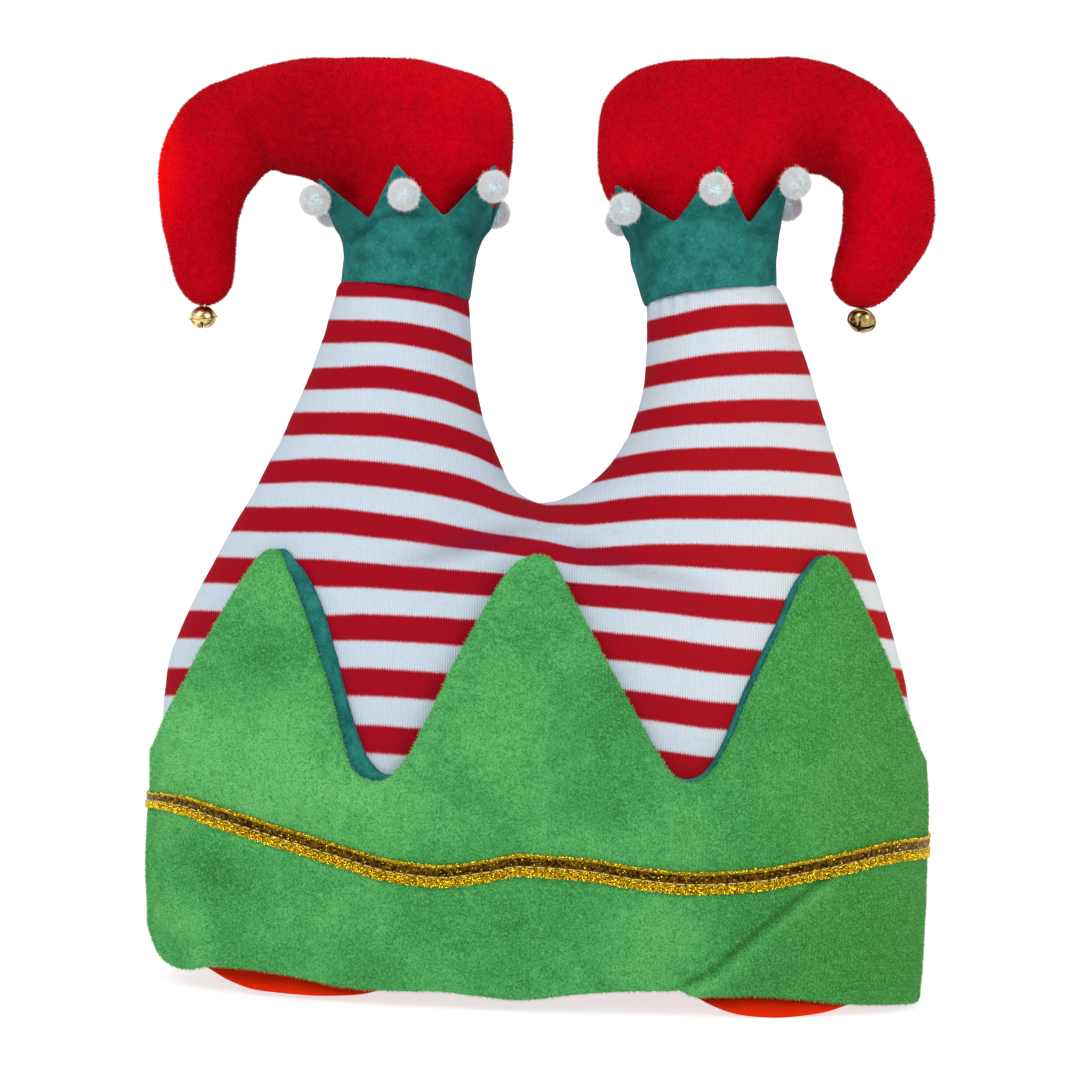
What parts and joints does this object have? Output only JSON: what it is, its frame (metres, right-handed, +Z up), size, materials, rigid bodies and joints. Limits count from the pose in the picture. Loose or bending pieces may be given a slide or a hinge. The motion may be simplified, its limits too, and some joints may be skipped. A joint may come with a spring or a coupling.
{
  "type": "elf hat",
  "caption": "Striped padded hat with a pointed green cuff and gold braid, ending in two upright stuffed legs with felt collars, pompoms and curled red boots with bells.",
  "frame": {"origin": "on the surface it stands on, under the middle of the head opening", "axes": "+Z up from the rim to the boots, -Y towards the front of the hat, +X to the viewer's right"},
  "size_m": [0.3043, 0.1104, 0.357],
  "materials": {
    "jersey": "fine knit jersey, red and white stripes",
    "lining": "plain red lining cloth",
    "plush": "short green plush with a mottled nap",
    "felt": "teal green craft felt",
    "gold_braid": "metallic gold braid with glitter edges",
    "velour": "short red velour",
    "pompom": "fluffy white yarn",
    "bell_gold": "polished gold plating"
  },
  "bodies": {
    "root": {"crown": "jersey", "lining_front": "lining", "cuff_front": "plush", "lining_back": "lining", "cuff_back": "plush", "cuff_facing": "felt", "braid": "gold_braid", "collar_left": "felt", "pompom_left_1": "pompom", "pompom_left_2": "pompom", "pompom_left_3": "pompom", "pompom_left_4": "pompom", "pompom_left_5": "pompom", "pompom_left_6": "pompom", "boot_left": "velour", "bell_left": "bell_gold", "collar_right": "felt", "pompom_right_1": "pompom", "pompom_right_2": "pompom", "pompom_right_3": "pompom", "pompom_right_4": "pompom", "pompom_right_5": "pompom", "pompom_right_6": "pompom", "boot_right": "velour", "bell_right": "bell_gold"}
  },
  "joints": []
}
